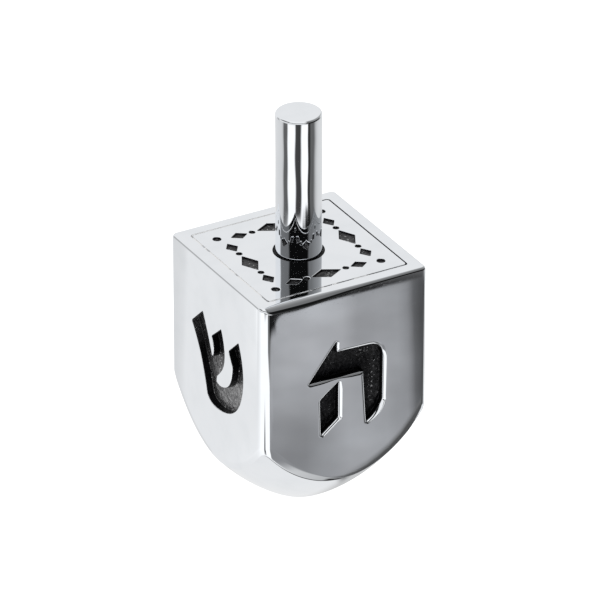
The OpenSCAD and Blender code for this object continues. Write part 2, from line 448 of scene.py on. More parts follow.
def black_tray(b, face, poly, lip, floor, back, grain, spacing, seed, floor_wear_and_light, wall=None):
    """Black layer in a recess: a thin skin on its walls and a granular floor. The floor's colour value mixes real wear
    with painted sheen and painted shade, and is lower within 0.3 mm of the walls; the walls carry painted light where
    it is given.
    """
    lip = lip_dip(poly) * lip
    m = miters(poly)
    way = face.way(unit(m))
    film, gap = 0.07, 0.015
    skin, outer = poly - film * m, poly - gap * m
    a = b.row(face.at(outer, back))
    t = b.row(face.at(outer, lip + 0.02))
    c = b.row(face.at(skin, lip + 0.05), unit(face.n - way))
    # painted light on the walls, from the wall function: lighter at the top of the wall than at its foot
    thin = np.zeros(len(skin)) if wall is None else wall(*skin.T)
    d = b.row(face.at(skin, lip + 0.11), -way, thin)
    e = b.row(face.at(skin, floor - 0.12), -way, 0.6 * thin)
    f = b.row(face.at(skin, floor), None, 0.4 * floor_wear_and_light(*skin.T, np.zeros(len(skin))))
    b.band(t, a)
    b.band(c, t)
    b.band(d, c)
    b.band(e, d)
    b.band(f, e)
    lo, hi = skin.min(0), skin.max(0)
    gx, gy = np.meshgrid(np.arange(lo[0], hi[0], spacing), np.arange(lo[1], hi[1], spacing))
    gx, gy = gx.ravel(), gy.ravel()
    gx = gx + spacing * 0.38 * noise2(gx * 7.1 / spacing, gy * 7.1 / spacing, seed)
    gy = gy + spacing * 0.38 * noise2(gx * 6.3 / spacing + 9, gy * 6.7 / spacing, seed + 1)
    pts = np.stack([gx, gy], 1)
    q = np.roll(skin, -1, 0)
    inside = np.zeros(len(pts), bool)
    # below: height of each floor point over the outline beneath it, which places painted shade along the lower walls
    near, below = np.full(len(pts), 1e9), np.full(len(pts), 1e9)
    for p0, p1 in zip(skin, q):
        if p0[0] != p1[0]:
            over = (pts[:, 0] >= min(p0[0], p1[0])) & (pts[:, 0] < max(p0[0], p1[0]))
            drop = pts[:, 1] - p0[1] - (pts[:, 0] - p0[0]) * (p1[1] - p0[1]) / (p1[0] - p0[0])
            below = np.where(over & (drop > 0), np.minimum(below, drop), below)
        if p0[1] != p1[1]:
            hit = (pts[:, 1] >= min(p0[1], p1[1])) & (pts[:, 1] < max(p0[1], p1[1]))
            inside ^= hit & (pts[:, 0] < p0[0] + (pts[:, 1] - p0[1]) * (p1[0] - p0[0]) / (p1[1] - p0[1]))
        e1 = p1 - p0
        s = np.clip(((pts - p0) @ e1) / (e1 @ e1), 0, 1)
        near = np.minimum(near, np.linalg.norm(pts - p0 - s[:, None] * e1, axis=1))
    keep = inside & (near > spacing * 0.45)
    pts, near, below = pts[keep], near[keep], below[keep]
    rough = (0.5 * noise2(pts[:, 0] / 0.52, pts[:, 1] / 0.52, seed + 2)
             + 0.6 * noise2(pts[:, 0] / 0.27 + 5, pts[:, 1] / 0.27, seed + 3)
             + 0.35 * noise2(pts[:, 0] * 8.3, pts[:, 1] * 8.9, seed + 4))
    rise = grain * rough * np.clip(near / 0.25, 0, 1)
    cove = 0.1 * np.clip(1 - near / 0.3, 0, 1) ** 2
    # floor value: real wear with painted sheen and painted shade, dimmer within 0.3 mm of the walls
    ids = b.row(face.at(pts, floor - rise - cove), None, floor_wear_and_light(*pts.T, below) * np.clip(0.4 + near / 0.5, 0, 1))
    b.fill([list(zip(f, skin))], list(zip(ids, pts)))
    b.fill([list(zip(a, outer))], flip=True)


# ---------------------------------------------------------------- materials

def socket_in(node, key):
    return node.inputs[key]


class Shade:
    """Small helper to write node trees as expressions."""

    def __init__(self, tree):
        self.t = tree
        tree.nodes.clear()

    def new(self, kind, **props):
        n = self.t.nodes.new(kind)
        for k, v in props.items():
            setattr(n, k, v)
        return n

    def put(self, node, key, value):
        s = node.inputs[key]
        if isinstance(value, bpy.types.NodeSocket):
            self.t.links.new(value, s)
        else:
            s.default_value = value

    def math(self, op, a, b=None, c=None, clamp=False):
        n = self.new("ShaderNodeMath", operation=op, use_clamp=clamp)
        for i, v in enumerate((a, b, c)):
            if v is not None:
                self.put(n, i, v)
        return n.outputs[0]

    def vec(self, op, a, b=None):
        n = self.new("ShaderNodeVectorMath", operation=op)
        self.put(n, 0, a)
        if b is not None:
            self.put(n, 1, b)
        return n.outputs["Value" if op in ("DOT_PRODUCT", "LENGTH") else "Vector"]

    def ramp(self, fac, stops, ease="LINEAR"):
        n = self.new("ShaderNodeValToRGB")
        r = n.color_ramp
        r.interpolation = ease
        while len(r.elements) < len(stops):
            r.elements.new(0.5)
        for e, (pos, val) in zip(r.elements, stops):
            e.position = pos
            v = val if isinstance(val, tuple) else (val, val, val)
            e.color = (*v, 1)
        self.put(n, "Fac", fac)
        return n.outputs["Color"]

    def step(self, x, lo, hi, a=0.0, b=1.0):
        """a below lo, b above hi, smooth between."""
        n = self.new("ShaderNodeMapRange", interpolation_type="SMOOTHSTEP")
        for k, v in zip(("Value", "From Min", "From Max", "To Min", "To Max"), (x, lo, hi, a, b)):
            self.put(n, k, v)
        return n.outputs["Result"]

    def mix(self, fac, a, b):
        n = self.new("ShaderNodeMix", data_type="RGBA")
        self.put(n, "Factor", fac)
        for s, v in ((n.inputs[6], a), (n.inputs[7], b)):
            if isinstance(v, bpy.types.NodeSocket):
                self.t.links.new(v, s)
            else:
                s.default_value = (v, v, v, 1) if not isinstance(v, tuple) else (*v, 1)
        return n.outputs[2]

    def noise(self, co, scale, detail=2.0, rough=0.5):
        n = self.new("ShaderNodeTexNoise")
        self.put(n, "Vector", co)
        for k, v in (("Scale", scale), ("Detail", detail), ("Roughness", rough)):
            self.put(n, k, v)
        return n.outputs["Fac"]

    def stretch(self, co, scale, turn):
        n = self.new("ShaderNodeMapping")
        self.put(n, "Vector", co)
        n.inputs["Scale"].default_value = scale
        n.inputs["Rotation"].default_value = turn
        return n.outputs["Vector"]


def material(name):
    m = bpy.data.materials.new(name)
    m.use_nodes = True
    return m, Shade(m.node_tree)


def finish_material(s, color, rough, normal, metallic=1.0):
    p = s.new("ShaderNodeBsdfPrincipled")
    s.put(p, "Base Color", color)
    s.put(p, "Metallic", metallic)
    s.put(p, "Roughness", rough)
    if normal is not None:
        s.put(p, "Normal", normal)
    o = s.new("ShaderNodeOutputMaterial")
    s.t.links.new(p.outputs[0], o.inputs["Surface"])
    return p


def bump(s, height, distance, strength=1.0, normal=None):
    n = s.new("ShaderNodeBump")
    s.put(n, "Height", height)
    s.put(n, "Distance", distance)
    s.put(n, "Strength", strength)
    if normal is not None:
        s.put(n, "Normal", normal)
    return n.outputs[0]


def silver_material():
    m, s = material("polished_silver")
    co = s.new("ShaderNodeTexCoord").outputs["Object"]
    haze = s.noise(co, 260, 3, 0.55)           # polishing haze, a few millimetres across
    smear = s.noise(s.stretch(co, (90, 420, 300), (0.3, 0.5, 0.9)), 1.0, 2)
    lines_a = s.noise(s.stretch(co, (160, 9000, 2600), (0.2, 0.1, 0.35)), 1.0, 1)
    lines_b = s.noise(s.stretch(co, (3000, 190, 8200), (0.7, 0.3, -0.5)), 1.0, 1)
    fine_a = s.step(lines_a, 0.66, 0.76)
    fine_b = s.step(lines_b, 0.67, 0.77)
    lines = s.math("MAXIMUM", fine_a, fine_b)
    color = s.ramp(s.math("ADD", s.math("MULTIPLY", haze, 0.6), s.math("MULTIPLY", smear, 0.4)),
                   [(0.30, (0.850, 0.876, 0.905)), (0.52, (0.888, 0.912, 0.942)), (0.75, (0.906, 0.926, 0.950))])
    rough = s.math("ADD", s.step(haze, 0.35, 0.75, 0.022, 0.038), s.math("MULTIPLY", lines, 0.02))
    wave = s.noise(co, 150, 1, 0.4)            # slow waviness left by hand polishing
    n = bump(s, wave, 1.1e-5)
    n = bump(s, s.math("MULTIPLY", lines, -1), 1.6e-7, 1.0, n)
    finish_material(s, color, rough, n)
    return m


def black_material():
    m, s = material("black_oxide")
    co = s.new("ShaderNodeTexCoord").outputs["Object"]
    wear_and_painted_light = s.new("ShaderNodeAttribute", attribute_name="shade").outputs["Fac"]
    grit = s.noise(co, 5200, 2, 0.6)
    lump = s.noise(co, 2300, 2, 0.55)
    patch = s.noise(co, 420, 2, 0.5)
    speck = s.step(s.noise(co, 2900, 2, 0.6), 0.63, 0.69)       # bright grains: metal where the black is rubbed off, together with painted glints; they show only where the value read above is high
    dark = s.ramp(lump, [(0.3, (0.007, 0.007, 0.008)), (0.7, (0.020, 0.020, 0.022))])
    floor = s.ramp(s.math("ADD", s.math("MULTIPLY", lump, 0.6), s.math("MULTIPLY", patch, 0.4)),
                   [(0.34, (0.13, 0.13, 0.134)), (0.5, (0.25, 0.25, 0.255)), (0.66, (0.38, 0.38, 0.386))])
    # painted sheen and shade: floor colour where the attribute is high, near black where it is low
    color = s.mix(wear_and_painted_light, dark, floor)
    color = s.mix(s.math("MULTIPLY", speck, s.math("MULTIPLY", wear_and_painted_light, 5.0, clamp=True)), color, (0.66, 0.67, 0.68))
    rough = s.step(lump, 0.3, 0.7, 0.44, 0.26)
    n = bump(s, lump, 9e-5, 0.9)
    n = bump(s, grit, 3e-5, 0.8, n)
    finish_material(s, color, rough, n, 0.95)
    return m


def solder_material():
    m, s = material("dark_solder")
    co = s.new("ShaderNodeTexCoord").outputs["Object"]
    dirt = s.noise(co, 1500, 3, 0.6)
    lump = s.noise(co, 3800, 2, 0.5)
    shade = s.new("ShaderNodeAttribute", attribute_name="shade").outputs["Fac"]
    dark = s.ramp(dirt, [(0.3, (0.006, 0.006, 0.007)), (0.7, (0.03, 0.03, 0.032))])
    color = s.mix(shade, (0.90, 0.90, 0.90), dark)
    rough = s.math("ADD", s.math("MULTIPLY", shade, 0.42), s.step(lump, 0.3, 0.7, 0.06, 0.12))
    n = bump(s, lump, 1.2e-5, 0.6)
    finish_material(s, color, rough, n)
    return m


SILVER, BLACK, SOLDER = silver_material(), black_material(), solder_material()


# ---------------------------------------------------------------- body

def dome_z(r):
    r = np.asarray(r, float)
    ball = TIP_R - np.sqrt(np.maximum(TIP_R ** 2 - r ** 2, 0))
    arc = ARC_Z - np.sqrt(np.maximum(ARC_R ** 2 - (r + OGIVE_OFF) ** 2, 0))
    return np.where(r < TIP_JOIN, ball, arc)


def dome_slope(r):
    r = np.asarray(r, float)
    ball = r / np.sqrt(np.maximum(TIP_R ** 2 - r ** 2, 1e-6))
    arc = (r + OGIVE_OFF) / np.sqrt(np.maximum(ARC_R ** 2 - (r + OGIVE_OFF) ** 2, 1e-6))
    return np.where(r < TIP_JOIN, ball, arc)


def hole_z(r):
    return ARC_Z - np.sqrt(np.maximum((ARC_R - WALL) ** 2 - (np.asarray(r, float) + OGIVE_OFF) ** 2, 0))


def make_body():
    b = Build()
    nf, nc = 44, 18
    per = nf + nc
    count = 4 * per
    up = np.array([0.0, 0.0, 1.0])
    # inside: cavity from its lowest point up, then the ledge and the seat's wall
    p, n = ring(HW - WALL, 2.0, 2.0, nf, nc)
    r_in = np.linalg.norm(p, axis=1)
    low = b.vert((0, 0, float(hole_z(0.0))))
    last = None
    for g in (0.08, 0.2, 0.35, 0.5, 0.65, 0.8, 0.9, 1.0):
        ids = b.row(lift(p * g, hole_z(r_in * g)))
        if last is None:
            b.start(low, ids)
        else:
            b.band(last, ids)
        last = ids
    for z in (SEAT_Z - 1.2, SEAT_Z):
        ids = b.row(lift(p, z))
        b.band(last, ids)
        last = ids
    p, n = ring(SEAT_HW, 0.5, 2.0, nf, nc)
    for z in (SEAT_Z, TOP_Z - 0.05):
        ids = b.row(lift(p, z), lift(-n, 0.0) if z > SEAT_Z else None)
        b.band(last, ids)
        last = ids
    p, n = ring(SEAT_HW + 0.05, 0.5, 2.0, nf, nc)
    ids = b.row(lift(p, TOP_Z), np.tile(up, (count, 1)))
    b.band(last, ids)
    last = ids
    # top face's rim and its softened outer edge
    p, n = ring(HW, V_BOX, V_POW, nf, nc)
    n3 = lift(n, 0.0)
    soft = np.zeros(count)
    for i in range(count):
        q, j = divmod(i, per)
        if j < nf:
            f = j / nf
            soft[i] = (np.interp(f, (0, 0.05, 0.12, 0.24, 0.35, 0.48, 0.65, 1), (1.0, 1.06, 1.14, 1.18, 1.0, 0.68, 0.52, 0.45)), 0.45, 0.42, 0.36)[q]
        else:
            f = (j - nf) / nc
            soft[i] = (0.45, 0.45 - 0.03 * f, 0.42 - 0.06 * f, float(np.interp(f, (0, 0.5, 1), (0.36, 0.5, 1.0))))[q]
    for _ in range(3):
        soft = (np.roll(soft, 1) + 2 * soft + np.roll(soft, -1)) / 4
    grid = []
    for i in range(13):
        a = i / 12 * math.pi / 2
        s, c = math.sin(a) ** (2 / T_POW), math.cos(a) ** (2 / T_POW)
        grid.append(lift(p - (soft * (1 - s))[:, None] * n, TOP_Z - soft * (1 - c)))
    grid = np.array(grid)
    d_ring = np.roll(grid, -1, 1) - np.roll(grid, 1, 1)
    d_down = np.concatenate([grid[1:2] - grid[:1], grid[2:] - grid[:-2], grid[-1:] - grid[-2:-1]])
    d_norm = unit(np.cross(d_down, d_ring))
    d_norm[0], d_norm[-1] = up, n3
    for g, d in zip(grid, d_norm):
        ids = b.row(g, d)
        b.band(last, ids)
        last = ids
    top_row = last
    # lower end of the sides: each flat rolls over towards the dome's edge
    edge = p - ROLL_IN * n
    r_e = np.linalg.norm(edge, axis=1)
    way = edge / r_e[:, None]
    z_e = dome_z(r_e)
    run = np.linalg.norm(np.roll(p, -1, 0) - np.roll(p, 1, 0), axis=1)
    steep = np.sqrt(1 + ((np.roll(z_e, -1) - np.roll(z_e, 1)) / run) ** 2)
    for _ in range(4):
        steep = (np.roll(steep, 1) + 2 * steep + np.roll(steep, -1)) / 4
    tall = ROLL_H * steep * np.array([np.interp(i, (0, 0.15 * nf, 0.28 * nf, 0.36 * nf, 0.43 * nf, 0.52 * nf, nf), (1.35, 1.2, 0.95, 0.65, 0.35, 0.18, 0.12)) if i < nf else 1.0 for i in range(count)])
    for _ in range(4):
        tall = (np.roll(tall, 1) + 2 * tall + np.roll(tall, -1)) / 4
    fine = np.linspace(0, 1, 201)
    ramp = np.clip(fine / 0.42, 0, 1)
    tilt = ramp * ramp * (3 - 2 * ramp) * (1 + 0.2 * fine)
    turn_in = np.concatenate([[0], np.cumsum((tilt[1:] + tilt[:-1]) / 2)])
    turn_in /= turn_in[-1]
    grid = []
    for k in (0, 0.05, 0.1, 0.16, 0.22, 0.28, 0.34, 0.4, 0.47, 0.56, 0.68, 0.8, 0.9):
        grid.append(lift(p - ROLL_IN * float(np.interp(k, fine, turn_in)) * n, z_e + tall * (1 - k)))
    # small round between the rolled border and the dome
    r_b = r_e - 0.11
    sharp, dome_start = lift(edge, z_e), lift(way * r_b[:, None], dome_z(r_b))
    first = grid[-1]
    for s in (0.2, 0.4, 0.6, 0.8):
        grid.append((1 - s) ** 2 * first + 2 * s * (1 - s) * sharp + s * s * dome_start)
    grid = np.array(grid + [dome_start, lift(way * (r_b - 0.11)[:, None], dome_z(r_b - 0.11))])
    d_ring = np.roll(grid, -1, 1) - np.roll(grid, 1, 1)
    d_down = np.concatenate([grid[1:2] - grid[:1], grid[2:] - grid[:-2], grid[-1:] - grid[-2:-1]])
    d_norm = unit(np.cross(d_down, d_ring))
    d_norm[0] = n3
    d_norm[1] = unit(0.5 * n3 + 0.5 * d_norm[1])
    z_s = z_e + tall
    rows = [b.row(g, d) for g, d in zip(grid[:-2], d_norm[:-2])]
    for a, c in zip(rows, rows[1:]):
        b.band(a, c)
    # upright corner edges, between the top edge and the rolled lower end
    mids = []
    for k in range(1, 8):
        f = k / 8
        z = (TOP_Z - soft) * (1 - f) + z_s * f
        row = [None] * count
        for q in range(4):
            for j in range(nc + 1):
                i = (q * per + nf + j) % count
                if row[i] is None:
                    row[i] = b.vert((*p[i], z[i]), n3[i])
        mids.append(row)
    stack = [top_row] + mids + [rows[0]]
    for a, c in zip(stack, stack[1:]):
        for q in range(4):
            b.band(a, c, range(q * per + nf, q * per + nf + nc))
    # dome
    last = rows[-1]
    steps = [None] + list(np.linspace(0.97, 0.13, 26)) + [0.105, 0.082, 0.06, 0.04, 0.022, 0.009]
    for g in steps:
        r = r_b if g is None else r_e * g
        nn = lift(way * dome_slope(r)[:, None], -1.0)
        ids = b.row(lift(way * r[:, None], dome_z(r)), nn)
        b.band(last, ids)
        last = ids
    b.tip(last, b.vert((0, 0, 0), (0, 0, -1)))
    # the four flats, each with its letter
    letters = {}
    for q_side, (name, drawing) in enumerate((("he", HE), ("gimel", GIMEL), ("nun", NUN), ("shin", SHIN))):
        face = side_flat(q_side)
        polys = [tidy(poly, 0.2, 0.4, LIPS[name]) + np.array([0.0, MARK_Z]) for poly in drawing]
        lips = [lip_shape(name, poly, lip) for poly, lip in zip(polys, lip_widths(polys, LIPS[name]))]
        ks = q_side * per
        ring_ids = [rows[0][(ks + i) % count] for i in range(nf + 1)]
        ring_ids += [m[(ks + nf) % count] for m in reversed(mids)]
        ring_ids += [top_row[(ks + i) % count] for i in range(nf, -1, -1)]
        ring_ids += [m[ks % count] for m in mids]
        co = np.array([b.co[i] for i in ring_ids])
        outer = list(zip(ring_ids, np.stack([co @ face.u, co @ face.v], 1)))
        for i in ring_ids:
            b.no[i] = tuple(face.n)
        holes = [recess(b, face, poly, lip, MARK_DEPTH) for poly, lip in zip(polys, lips)]
        b.fill([outer] + holes)
        letters[name] = (face, polys, lips)
    b.make("body", SILVER, "body_shell")
    return letters


def he_wear_and_light(u, v, below):
    """A little wear all over, painted sheen in the upper half of the bar and towards the right of the long stroke, and
    painted shade on the floor less than about a millimetre above the outline below it.
    """
    v = v - MARK_Z
    # real wear, and painted sheen in the upper bar and the right of the long stroke
    much = 0.035 + 0.055 * np.clip((v - 2.8) / 1.0, 0, 1) + 0.12 * np.clip((u - 3.8) / 1.0, 0, 1)
    # painted shade: nothing within 0.8 mm above the outline below, full from 1.2 mm
    return much * np.clip((below - 0.8) / 0.4, 0, 1)


def shin_wear_and_light(u, v, below):
    """A little wear all over, and painted sheen that makes the floor of the bowl lighter."""
    return 0.16 + 0.8 * np.clip((1.5 - (v - MARK_Z)) / 3.0, 0, 1)


def shin_wall_painted_light(u, v):
    """Painted light on the wall of the first stroke: lighter towards its top."""
    return np.clip((v - MARK_Z - 0.5) / 4.0, 0, 1) * np.clip((-1.5 - u) / 0.6, 0, 1)


def worn_little(u, v, below):
    return np.full(np.shape(u), 0.16)


# each letter's floor value: real wear with painted sheen and painted shade
WEAR_AND_LIGHT_BY_LETTER = {"he": he_wear_and_light, "gimel": he_wear_and_light, "nun": he_wear_and_light, "shin": shin_wear_and_light}


def make_letters(letters):
    for k, (name, (face, polys, lips)) in enumerate(letters.items()):
        b = Build()
        for j, (poly, lip) in enumerate(zip(polys, lips)):
            black_tray(b, face, poly, lip, MARK_FLOOR, MARK_DEPTH - 0.015, 0.055, 0.17, 11 + 20 * k + 7 * j, WEAR_AND_LIGHT_BY_LETTER[name], shin_wall_painted_light if name == "shin" else None)
        b.make(name + "_black", BLACK, name + "_inlay")


# ---------------------------------------------------------------- plate, stem and solder

def make_plate():
    b = Build()
    nf, nc, kc = 30, 6, 96
    top = Flat((0, 0, TOP_Z), (1, 0, 0), (0, 1, 0), (0, 0, 1))
    up = np.array([0.0, 0.0, 1.0])
    # socket and ring groove, from the socket's floor up
    last = None
    low = b.vert((0, 0, TOP_Z - 6))
    for r, z in ((TENON_R + 0.02, -6), (TENON_R + 0.02, -0.7), (GROOVE_R, -0.7)):
        ids = b.row(lift(circle(r, kc)[0], TOP_Z + z))
        if last is None:
            b.start(low, ids)
        else:
            b.band(last, ids)
        last = ids
    c, d = circle(1, kc)
    for i in range(5):
        a = i / 4 * math.pi / 2
        r = GROOVE_R + 0.06 * (1 - math.cos(a))
        ids = b.row(lift(c * r, TOP_Z - 0.06 * (1 - math.sin(a))),
                    lift(-d, 0.0) * math.cos(a) + up * math.sin(a))
        b.band(last, ids)
        last = ids
    hole = list(zip(last, c * (GROOVE_R + 0.06)))
    # outer edge and underside
    p, n = ring(PLATE_HW, 0.4, 2.0, nf, nc)
    rim = b.row(lift(p - 0.03 * n, TOP_Z), np.tile(up, (len(p), 1)))
    edge = b.row(lift(p, TOP_Z - 0.03), lift(n, 0.0))
    foot = b.row(lift(p, SEAT_Z))
    b.band(rim, edge)
    b.band(edge, foot)
    boss = circle(5.5, kc)[0]
    boss_up = b.row(lift(boss, SEAT_Z))
    b.fill([list(zip(foot, p)), list(zip(boss_up, boss))], flip=True)
    boss_low = b.row(lift(boss, TOP_Z - 7.2))
    b.band(boss_up, boss_low)
    b.tip(boss_low, b.vert((0, 0, TOP_Z - 7.2)))
    # ornament and top face
    polys = [tidy(poly, 0.08, 0.3, 0.1) for poly in ornament()]
    lips = [np.full(len(poly), 0.1) for poly in polys]
    holes = [recess(b, top, poly, lip, ORN_DEPTH, 4) for poly, lip in zip(polys, lips)]
    b.fill([list(zip(rim, p - 0.03 * n)), hole] + holes)
    b.make("plate", SILVER, "top_plate")
    b = Build()
    for k, (poly, lip) in enumerate(zip(polys, lips)):
        black_tray(b, top, poly, lip, ORN_FLOOR, ORN_DEPTH - 0.015, 0.02, 0.15, 301 + 5 * k, worn_little)
    b.make("ornament_black", BLACK, "plate_inlay")


def make_stem():
    b = Build()
    k = 160
    c, d = circle(1, k)
    d3, up = lift(d, 0.0), np.array([0.0, 0.0, 1.0])
    prof = [(1.0, STEM_H, 0, 1), (2.2, STEM_H, 0, 1)]
    for i in range(9):
        a = i / 8 * math.pi / 2
        prof.append((STEM_R - 0.35 * (1 - math.sin(a)), STEM_H - 0.35 * (1 - math.cos(a)), math.sin(a), math.cos(a)))
    for z in np.linspace(STEM_H - 0.5, 0.25, 32):
        prof.append((None, z, 1, 0))
    prof += [(STEM_R, 0.12, 1, 0), (FOOT_R, 0.1, 1, -0.3), (FOOT_R, -0.7, 1, 0)]
    centre = b.vert((0, 0, TOP_Z + STEM_H), up)
    last = None
    turn = np.arctan2(c[:, 1], c[:, 0])
    side = np.stack([-c[:, 1], c[:, 0], np.zeros(k)], 1)

    def uneven(a, z):
        """The rod is polished by hand and not quite true."""
        fade = np.clip(z / 2.5, 0, 1) * np.clip((STEM_H - 0.5 - z) / 2.5, 0, 1)
        return 0.02 * fade * (1 + 0.5 * np.sin(3 * a + 0.33 * z + 1) + 0.3 * np.sin(5 * a - 0.5 * z + 0.4) + 0.2 * np.sin(7 * a + 0.9 * z + 2))

    for r, z, h, v in prof:
        if r is None:
            low = uneven(turn, z)
            du = (uneven(turn + 1e-3, z) - uneven(turn - 1e-3, z)) / 2e-3 / STEM_R
            dz = (uneven(turn, z + 1e-3) - uneven(turn, z - 1e-3)) / 2e-3
            ids = b.row(lift(c * (STEM_R - low)[:, None], TOP_Z + z), unit(d3 + du[:, None] * side + dz[:, None] * up))
        else:
            ids = b.row(lift(c * r, TOP_Z + z), d3 * h + up * v)
        if last is None:
            b.start(centre, ids)
        else:
            b.band(last, ids)
        last = ids
    for r, z in ((TENON_R, -0.7), (TENON_R, -6.0)):
        ids = b.row(lift(c * r, TOP_Z + z))
        b.band(last, ids)
        last = ids
    b.tip(last, b.vert((0, 0, TOP_Z - 6)))
    b.make("stem_rod", SILVER, "stem")


def make_solder():
    # square seam: open and dark along +X and round its ends, nearly flush and broken elsewhere
    b = Build()
    nf, nc = 90, 8
    pi, ni = ring(PLATE_HW + 0.008, 0.4, 2.0, nf, nc)
    po, no = ring(SEAT_HW - 0.008, 0.5, 2.0, nf, nc)
    mid = (pi + po) / 2
    x, y = mid[:, 0], mid[:, 1]
    s = np.arange(len(mid))
    patch = 0.5 * noise2(s * 0.11, s * 0 + 3.5, 71) + 0.5 * noise2(s * 0.31, s * 0 + 1.5, 72)
    open_x = np.clip((x - 10.3) / 0.3, 0, 1) * np.clip((y + 10.75) / 0.2, 0, 1)
    hook = np.clip((y - 10.3) / 0.3, 0, 1) * np.clip((x - 8.9) / 0.5, 0, 1)
    right = np.clip((-y - 10.3) / 0.3, 0, 1) * np.clip((x - 4.0) / 4.0, 0, 1) * 0.55
    front = np.clip((-y - 10.3) / 0.3, 0, 1) * np.clip((patch - 0.05) * 5, 0, 1) * 0.4
    left = np.clip((-x - 10.3) / 0.3, 0, 1) * np.clip((patch - 0.02) * 5, 0, 1) * 0.38
    shade = np.clip(np.maximum.reduce([open_x, hook, right, front, left]), 0, 1)
    low = 0.012 + 0.2 * shade
    rows = []
    for pts, depth in ((pi, np.full(len(s), 1.0)), (pi, low), (mid, low + 0.03 + 0.02 * shade), (po, low),
                       (po, np.full(len(s), 1.0))):
        rows.append(b.row(lift(pts, TOP_Z - depth), None, shade))
    for a, c in zip(rows, rows[1:] + rows[:1]):
        b.band(a, c)
    b.make("plate_solder", SOLDER, "plate_seam")
    # ring round the stem's foot
    b = Build()
    k = 120
    c, d = circle(1, k)
    rows = []
    for r, z in ((FOOT_R + 0.01, -0.69), (FOOT_R + 0.01, -0.16), (3.24, -0.21), (3.36, -0.22),
                 (GROOVE_R - 0.01, -0.17), (GROOVE_R - 0.01, -0.69)):
        wob = 0.02 * noise2(np.arange(k) * 0.4, np.full(k, r * 3), 91) if -0.6 < z else 0.0
        rows.append(b.row(lift(c * r, TOP_Z + z + wob), None, np.ones(k)))
    for a, e in zip(rows, rows[1:] + rows[:1]):
        b.band(a, e)
    b.make("stem_solder", SOLDER, "stem_seam")


letters = make_body()
make_letters(letters)
make_plate()
make_stem()
make_solder()


# ---------------------------------------------------------------- camera

AZ, EL = math.radians(-29.53), math.radians(28.39)
back = Vector((math.sin(AZ) * math.cos(EL), -math.cos(AZ) * math.cos(EL), math.sin(EL)))
right = Vector((math.cos(AZ), math.sin(AZ), 0))
up = back.cross(right)
cam = bpy.data.cameras.new("camera")
cam.sensor_width = 36
cam.lens = 428.7
cam.clip_start, cam.clip_end = 0.01, 20
cam_obj = bpy.data.objects.new("camera", cam)
bpy.context.scene.collection.objects.link(cam_obj)
place = Vector((0, 0, TOP_Z * MM)) + back * 0.9621
aim = Vector((0, 0, TOP_Z * MM)) + right * 0.000175 - up * 0.006773
cam_obj.location = place
z_axis = (place - aim).normalized()
x_axis = Vector((0, 0, 1)).cross(z_axis).normalized()
y_axis = z_axis.cross(x_axis)
cam_obj.matrix_world = Matrix((
    (x_axis.x, y_axis.x, z_axis.x, place.x),
    (x_axis.y, y_axis.y, z_axis.y, place.y),
    (x_axis.z, y_axis.z, z_axis.z, place.z),
    (0, 0, 0, 1)))
bpy.context.scene.camera = cam_obj


# ---------------------------------------------------------------- studio

FRONT = (back.x, back.y, 0.0)
FRONT = tuple(Vector(FRONT).normalized())
SIDE = tuple(right)


def plane(name, half, z):
    me = bpy.data.meshes.new(name)
    me.from_pydata([(-half, -half, z), (half, -half, z), (half, half, z), (-half, half, z)], [], [(0, 1, 2, 3)])
    obj = bpy.data.objects.new(name, me)
    bpy.context.scene.collection.objects.link(obj)
    return obj


def only_mirrored(obj):
    obj.visible_camera = False
    obj.visible_diffuse = False
    obj.visible_transmission = False
    obj.visible_volume_scatter = False
    obj.visible_shadow = False


def bearing(s, co):
    """Bearing round the object, 0 to 1, with 0.5 towards the front of the studio and more to its right."""
    b = s.math("ARCTAN2", s.vec("DOT_PRODUCT", co, SIDE), s.vec("DOT_PRODUCT", co, FRONT))
    return s.math("ADD", s.math("MULTIPLY", b, 1 / (2 * math.pi)), 0.5)


def deg(stops):
    return [((d + 180) / 360, v) for d, v in stops]


def glow(s, color):
    e = s.new("ShaderNodeEmission")
    s.put(e, "Color", color)
    o = s.new("ShaderNodeOutputMaterial")
    s.t.links.new(e.outputs[0], o.inputs["Surface"])


# floor that the camera sees: pale, evenly lit, with a faint contact shadow
floor = plane("floor", 4.0, -0.0004)
floor.visible_glossy = False
fm, s = material("floor")
p = s.new("ShaderNodeBsdfPrincipled")
fco = s.new("ShaderNodeTexCoord").outputs["Object"]
s.put(p, "Base Color", s.ramp(s.noise(fco, 12, 2), [(0.3, 0.50), (0.7, 0.52)]))
p.inputs["Roughness"].default_value = 0.9
p.inputs["Specular IOR Level"].default_value = 0.1
p.inputs["Emission Color"].default_value = (1, 1, 1, 1)
p.inputs["Emission Strength"].default_value = 0.8
fm.cycles.emission_sampling = "NONE"
o = s.new("ShaderNodeOutputMaterial")
s.t.links.new(p.outputs[0], o.inputs["Surface"])
floor.data.materials.append(fm)

# table of the studio as the polished metal mirrors it: white under and behind the piece,
# grey to its right, and white, grey and dark cards further out in front
cards = plane("table_cards", 4.0, -0.0002)
only_mirrored(cards)
cm, s = material("table_cards")
cm.cycles.emission_sampling = "NONE"
co = s.new("ShaderNodeTexCoord").outputs["Object"]
xyz = s.new("ShaderNodeSeparateXYZ")
s.put(xyz, 0, co)
x, y = (s.math("MULTIPLY", xyz.outputs[i], 1000.0) for i in (0, 1))
rho = s.math("SQRT", s.math("ADD", s.math("MULTIPLY", x, x), s.math("MULTIPLY", y, y)))
turn = bearing(s, co)
cards_mid = s.ramp(turn, deg([(-180, 0.80), (-92, 0.70), (-82, 0.58), (-76, 0.13), (-58, 0.12), (-51, 1.12), (-19, 1.12),
                              (-13, 0.06), (9, 0.05), (16, 1.12), (50, 1.12), (55.5, 0.13), (76, 0.125), (82, 0.26),
                              (89, 0.50), (100, 0.66), (112, 0.72), (180, 0.80)]))
